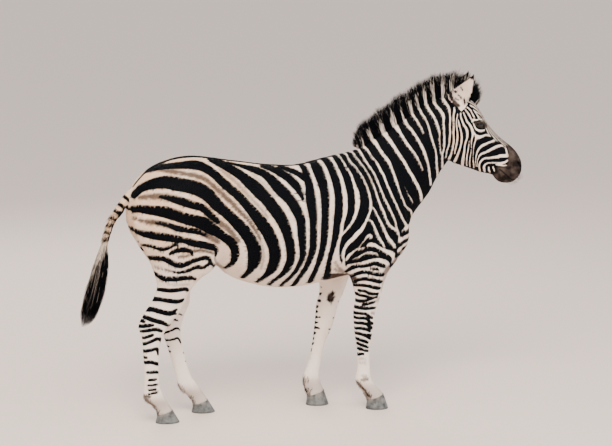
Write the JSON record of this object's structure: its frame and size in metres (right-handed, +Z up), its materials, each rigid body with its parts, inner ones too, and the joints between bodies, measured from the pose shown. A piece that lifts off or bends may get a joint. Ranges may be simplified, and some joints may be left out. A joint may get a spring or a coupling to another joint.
{
  "type": "zebra",
  "caption": "Life-size still model of a standing plains zebra with an upright mane, its head turned slightly to its right and its tail hanging.",
  "frame": {"origin": "centre of the bounding box's base, on the ground between the four hooves", "axes": "+X towards the head, +Y to the animal's left, +Z up; z = 0 is the ground under the hooves"},
  "size_m": [2.308, 0.5302, 1.7547],
  "materials": {
    "coat": "hide with short hair, striped black and white",
    "neck_coat": "hide with short hair, mostly black with narrow white stripes",
    "hair": "long stiff hair of the mane and the tail's end",
    "hoof": "dull grey horn",
    "eye": "glossy dark brown"
  },
  "bodies": {
    "root": {"ear_left": "coat", "ear_right": "coat", "eye_left": "eye", "eye_right": "eye", "fore_left_cannon": "coat", "fore_left_hoof": "hoof", "fore_left_pastern": "coat", "fore_left_upper": "coat", "fore_right_cannon": "coat", "fore_right_hoof": "hoof", "fore_right_pastern": "coat", "fore_right_upper": "coat", "head": "coat", "hind_left_cannon": "coat", "hind_left_hoof": "hoof", "hind_left_pastern": "coat", "hind_left_upper": "coat", "hind_right_cannon": "coat", "hind_right_hoof": "hoof", "hind_right_pastern": "coat", "hind_right_upper": "coat", "mane": "hair", "neck": "neck_coat", "tail_dock": "coat", "tail_switch": "hair", "trunk": "coat"}
  },
  "joints": []
}
